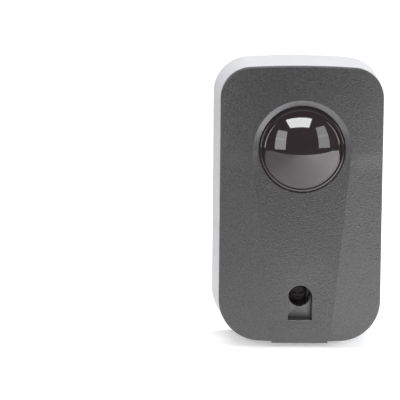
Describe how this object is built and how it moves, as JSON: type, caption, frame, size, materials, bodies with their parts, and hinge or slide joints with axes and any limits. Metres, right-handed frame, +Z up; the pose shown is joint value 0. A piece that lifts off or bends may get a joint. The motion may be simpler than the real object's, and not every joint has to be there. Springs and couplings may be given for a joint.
{
  "type": "infrared photocell",
  "caption": "Wall-mounted infrared photocell: light grey housing, crowned dark cover with a domed lens in a dished seat and a keyhole screw well, circuit board inside, cable inlet in the back.",
  "frame": {"origin": "centre of the flat wall face at the back of the housing", "axes": "+X to the right seen from the front, +Y back into the wall, +Z up; the lens looks along -Y"},
  "size_m": [0.0638, 0.042, 0.1064],
  "materials": {
    "housing_plastic": "fine grain, light grey",
    "cover_plastic": "pebble grain, dark grey",
    "lens_plastic": "polished, near black, passes infrared",
    "seal_rubber": "matt black",
    "inner_plastic": "matt black",
    "zinc_steel": "zinc plated",
    "stainless_steel": "bright",
    "insert_brass": "turned",
    "board_laminate": "green solder mask over glass cloth",
    "tinned_wire": "tinned",
    "terminal_plastic": "moulded, green",
    "relay_plastic": "moulded, black",
    "can_aluminium": "dark sleeve",
    "chip_resin": "moulded resin, black",
    "resistor_lacquer": "lacquer, beige",
    "led_resin": "clear red resin"
  },
  "bodies": {
    "root": {"rear_housing": "housing_plastic", "front_cover": "cover_plastic", "lens": "lens_plastic", "lens_seal": "seal_rubber", "lens_retainer": "inner_plastic", "retainer_screws": "zinc_steel", "cover_gasket": "seal_rubber", "cover_screw": "stainless_steel", "cover_screw_seal": "seal_rubber", "cover_screw_insert": "insert_brass", "circuit_board": "board_laminate", "board_screws": "zinc_steel", "optical_tube": "inner_plastic", "infrared_receiver": "lens_plastic", "receiver_leads": "tinned_wire", "terminal_block": "terminal_plastic", "terminal_clamps": "tinned_wire", "terminal_screws": "zinc_steel", "relay": "relay_plastic", "filter_capacitor": "can_aluminium", "bridge_rectifier": "chip_resin", "voltage_regulator": "chip_resin", "signal_chip": "chip_resin", "resistors": "resistor_lacquer", "status_led": "led_resin", "jumper_header": "chip_resin", "jumper_cap": "inner_plastic", "cable_grommet": "seal_rubber"}
  },
  "joints": []
}
